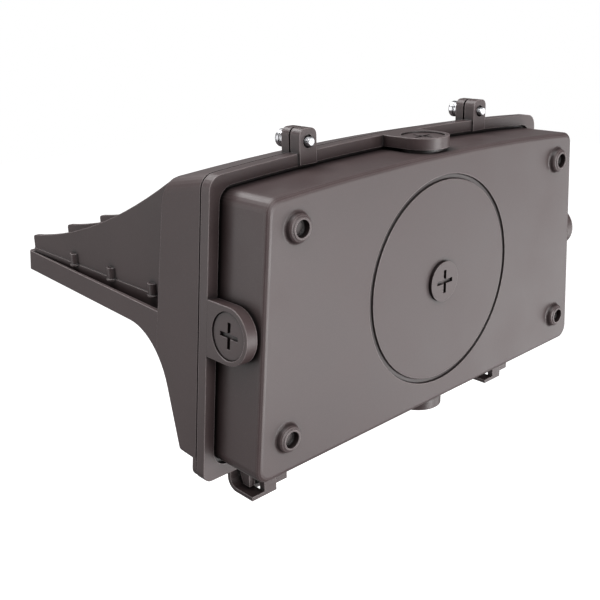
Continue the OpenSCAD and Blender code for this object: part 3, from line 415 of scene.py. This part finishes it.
def circle(bm, r, x, y, z, thread):
    """The vertices of a circle round the line along Y, or one vertex where the radius is zero."""
    if r == 0:
        return [bm.verts.new((x, y, z))]
    verts = []
    for k in range(SIDES):
        turn = k / SIDES
        reach = r - groove(y, turn, thread)
        angle = math.tau * turn
        verts.append(bm.verts.new((x + reach * math.sin(angle), y, z + reach * math.cos(angle))))
    return verts


def bridge(bm, a, b):
    """Faces between two circles, one of which may be a single vertex."""
    for k in range(SIDES):
        n = (k + 1) % SIDES
        corners = [a[k % len(a)], a[n % len(a)], b[n % len(b)], b[k % len(b)]]
        bm.faces.new(list(dict.fromkeys(corners)))


def turned(name, profile, x, z, thread=None):
    """A solid of revolution about the line along Y through x, z; profile holds (radius, y) in order.
    It ends on the axis at both ends or closes on itself. thread is the first and last y of a thread."""
    bm = bmesh.new()
    circles = [circle(bm, r, x, y, z, thread) for r, y in profile]
    for a, b in zip(circles, circles[1:]):
        bridge(bm, a, b)
    if profile[0][0] > 0:
        bridge(bm, circles[-1], circles[0])
    bmesh.ops.recalc_face_normals(bm, faces=bm.faces)
    mesh = bpy.data.meshes.new(name)
    bm.to_mesh(mesh)
    bm.free()
    return mesh


def block(low, high):
    """An object that fills the box between two corners."""
    size = Vector(high) - Vector(low)
    bm = bmesh.new()
    bmesh.ops.create_cube(bm, size=1.0)
    # The unit cube's corners lie half a unit from its middle
    for v in bm.verts:
        v.co = Vector(low) + Vector((c + 0.5) * s for c, s in zip(v.co, size))
    mesh = bpy.data.meshes.new("knife")
    bm.to_mesh(mesh)
    bm.free()
    return placed("knife", mesh)


def carved(mesh, cutters):
    """The mesh less the boxes in cutters, each given by its low and high corners."""
    body = placed("carved", mesh)
    knives = [block(low, high) for low, high in cutters]
    for knife in knives:
        body.modifiers.new("cut", "BOOLEAN").object = knife
    result = bpy.data.meshes.new_from_object(body.evaluated_get(bpy.context.evaluated_depsgraph_get()))
    for spent in knives + [body]:
        bpy.data.objects.remove(spent)
    return result


def smooth(mesh):
    """Smooth shading between the sharp edges."""
    bm = bmesh.new()
    bm.from_mesh(mesh)
    for face in bm.faces:
        face.smooth = True
    for edge in bm.edges:
        edge.smooth = len(edge.link_faces) == 2 and edge.calc_face_angle(0) < SHARP
    bm.to_mesh(mesh)
    bm.free()
    return mesh


def arc(cx, cy, r, start, end):
    """Points of an arc between two angles in degrees."""
    angles = [math.radians(start + (end - start) * i / ARC_STEPS) for i in range(ARC_STEPS + 1)]
    return [(cx + r * math.cos(a), cy + r * math.sin(a)) for a in angles]


def new_piece(name, mesh, slot, body, replaced):
    """A piece of the scene that rides on a body and stands in for a CAD node."""
    piece = placed(name, mesh)
    mesh.materials.clear()
    mesh.materials.append(materials[slot])
    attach(piece, body)
    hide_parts(replaced)


# Latch screws and their washers
def head_profile(start, under, head_r):
    """Radius and y of the head, from the middle of its crown to the shank."""
    crown = start + CHAMFER / 2
    waist = under - COLLAR_H - WAIST_H
    collar = waist + WAIST_H
    return [
        (0, start), (head_r - CROWN_SHARE * HEAD_ROUND, crown),
        *arc(head_r - HEAD_ROUND, crown + HEAD_ROUND, HEAD_ROUND, ROUND_START, 0),
        (head_r, waist - CHAMFER), (head_r - CHAMFER, waist), (WAIST_R, waist),
        (WAIST_R, collar), (head_r - CHAMFER, collar), (head_r, collar + CHAMFER),
        (head_r, under - CHAMFER), (head_r - CHAMFER, under), (SHANK_R, under)]


def shank_profile(first, last, tip):
    """Radius and y of the shank, with a thread from first to last."""
    steps = int((last - first) / PITCH * THREAD_STEPS)
    return [
        (SHANK_R, first - LEAD_IN),
        *((SHANK_R, first + (last - first) * i / steps) for i in range(steps + 1)),
        (SHANK_R - THREAD_DEPTH, tip - POINT_H), (SHANK_R - POINT_SHARE * THREAD_DEPTH, tip), (0, tip)]


def latch_screw(node, x, z, under, body):
    """The threaded screw in place of the node, whose washers start at under."""
    low, high = (Vector(v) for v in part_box(node))
    head_r = (high.x - low.x) / 2
    first, last = under + PLAIN_L, high.y - THREAD_END
    profile = head_profile(low.y, under, head_r) + shank_profile(first, last, high.y)
    arm = head_r * RECESS_SHARE
    cross = [((x - a, low.y - OVERRUN, z - b), (x + a, low.y + SLOT_DEEP, z + b))
             for a, b in ((arm, SLOT_HALF), (SLOT_HALF, arm))]
    name = f"{node}_threaded"
    mesh = carved(turned(name, profile, x, z, (first, last)), cross)
    new_piece(name, smooth(mesh), "bright_steel", body, node)


def washer(node, x, z, split, body):
    """The chamfered washer in place of the node, split above its middle where asked."""
    low, high = (Vector(v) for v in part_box(node))
    r, bore = (high.x - low.x) / 2, SHANK_R + WASHER_PLAY
    ring = [(bore, low.y + WASHER_INSET), (r - CHAMFER, low.y + WASHER_INSET), (r, low.y + CHAMFER),
            (r, high.y - CHAMFER), (r - CHAMFER, high.y - WASHER_INSET), (bore, high.y - WASHER_INSET)]
    name = f"{node}_bright"
    mesh = turned(name, ring, x, z)
    if split:
        slot = ((x - SLOT_HALF, low.y - OVERRUN, z), (x + SLOT_HALF, high.y + OVERRUN, z + 2 * r))
        mesh = carved(mesh, [slot])
    new_piece(name, smooth(mesh), "bright_steel", body, node)


for side in ("right", "left"):
    body, screw = f"latch_{side}", f"captive_screw_{side}"
    lock, flat = f"lock_washer_{side}", f"flat_washer_{side}"
    low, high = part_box(screw)
    x, z = (low[0] + high[0]) / 2, (low[2] + high[2]) / 2
    latch_screw(screw, x, z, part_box(lock)[0][1], body)
    washer(lock, x, z, True, body)
    washer(flat, x, z, False, body)

# Lights: place, target, width and height, watts
LIGHTS = {
    "key": ((-0.9, 2.8, -0.8), (0, 0, 0), (1.4, 1.4), 108),
    "rake": ((-2.6, 1.5, -1.0), (0, 0, 0), (1.8, 1.8), 33),
    "fill": ((0.35, 2.6, 0.8), (0, 0, 0), (1.6, 1.6), 62),
    "side": ((1.9, -1.2, 0.15), (0, -0.08, 0), (1.4, 1.6), 21),
    "top": ((0.3, -1.2, 1.7), (0, -0.05, 0), (1.4, 1.0), 45),
    "sky": ((0.6, 0.2, 2.0), (0, -0.05, 0), (1.6, 1.6), 42),
}
for name, (at, towards, size, watts) in LIGHTS.items():
    lamp = bpy.data.lights.new(name, "AREA")
    lamp.shape = "RECTANGLE"
    lamp.size, lamp.size_y = size
    lamp.energy = watts
    stand = placed(name, lamp)
    stand.location = at
    stand.rotation_euler = (Vector(towards) - Vector(at)).to_track_quat("-Z", "Y").to_euler()

# The backdrop is white to the eye and lights the lamp more softly
AMBIENT = 0.3
world = bpy.data.worlds.new("studio")
world.use_nodes = True
tree = world.node_tree
backdrop = tree.nodes["Background"]
backdrop.inputs["Color"].default_value = rgb(1, 1, 1)
seen = tree.nodes.new("ShaderNodeMapRange")
seen.inputs["To Min"].default_value = AMBIENT
tree.links.new(tree.nodes.new("ShaderNodeLightPath").outputs["Is Camera Ray"], seen.inputs["Value"])
tree.links.new(seen.outputs["Result"], backdrop.inputs["Strength"])
scene.world = world

# Pale floor, well below the lamp
FLOOR_DROP, FLOOR_HALF, FLOOR_GLOW = 1.5, 9.0, 0.97
floor_z = cad_box[0][2] - FLOOR_DROP
corners = [(x * FLOOR_HALF, y * FLOOR_HALF, floor_z) for x, y in ((-1, -1), (1, -1), (1, 1), (-1, 1))]
floor_mesh = bpy.data.meshes.new("floor")
floor_mesh.from_pydata(corners, [], [range(len(corners))])
floor_mesh.materials.append(Graph("pale_floor").finish(
    Base_Color=rgb(0.5, 0.5, 0.5), Roughness=1.0,
    Emission_Color=rgb(1, 1, 1), Emission_Strength=FLOOR_GLOW))
floor = placed("floor", floor_mesh)
floor.visible_diffuse = False
floor.visible_glossy = False

bpy.context.view_layer.update()
